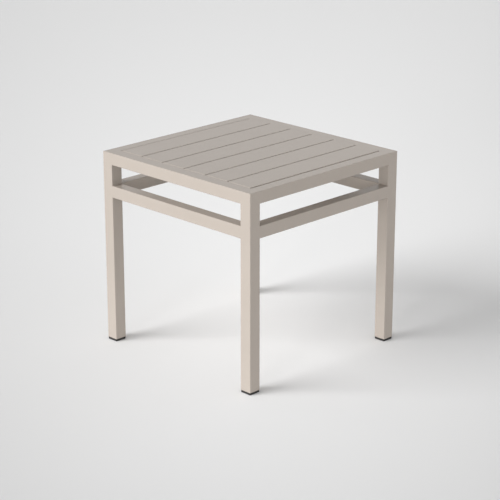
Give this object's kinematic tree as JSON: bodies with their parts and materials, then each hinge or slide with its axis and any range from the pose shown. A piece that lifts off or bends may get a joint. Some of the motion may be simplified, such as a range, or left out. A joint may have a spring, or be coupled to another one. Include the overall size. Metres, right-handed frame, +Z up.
{
  "type": "side table",
  "caption": "Square outdoor side table of coated metal tube: corner legs, a flush frame round a slatted top, a second ring of rails just below it, thin black feet.",
  "frame": {"origin": "on the floor under the centre of the table", "axes": "+Z up; the slats run along Y; -Y is the front and +X the right side"},
  "size_m": [0.508, 0.508, 0.4926],
  "materials": {
    "powder_coat": "satin",
    "foot_plastic": "matte",
    "screw_steel": "satin"
  },
  "bodies": {
    "root": {"leg_front_left": "powder_coat", "leg_front_right": "powder_coat", "leg_back_right": "powder_coat", "leg_back_left": "powder_coat", "leg_cap_front_left": "powder_coat", "leg_cap_front_right": "powder_coat", "leg_cap_back_right": "powder_coat", "leg_cap_back_left": "powder_coat", "top_rail_front": "powder_coat", "top_rail_right": "powder_coat", "top_rail_back": "powder_coat", "top_rail_left": "powder_coat", "lower_rail_front": "powder_coat", "lower_rail_right": "powder_coat", "lower_rail_back": "powder_coat", "lower_rail_left": "powder_coat", "slat_1": "powder_coat", "slat_2": "powder_coat", "slat_3": "powder_coat", "slat_4": "powder_coat", "slat_5": "powder_coat", "slat_6": "powder_coat", "slat_ledge_front": "powder_coat", "slat_ledge_back": "powder_coat", "centre_bar": "powder_coat", "bar_cleat_left": "powder_coat", "bar_cleat_right": "powder_coat", "ledge_rivets_front": "powder_coat", "ledge_rivets_back": "powder_coat", "cleat_rivets_left": "powder_coat", "cleat_rivets_right": "powder_coat", "slat_screws_front": "screw_steel", "slat_screws_middle": "screw_steel", "slat_screws_back": "screw_steel", "foot_front_left": "foot_plastic", "foot_front_right": "foot_plastic", "foot_back_right": "foot_plastic", "foot_back_left": "foot_plastic"}
  },
  "joints": []
}
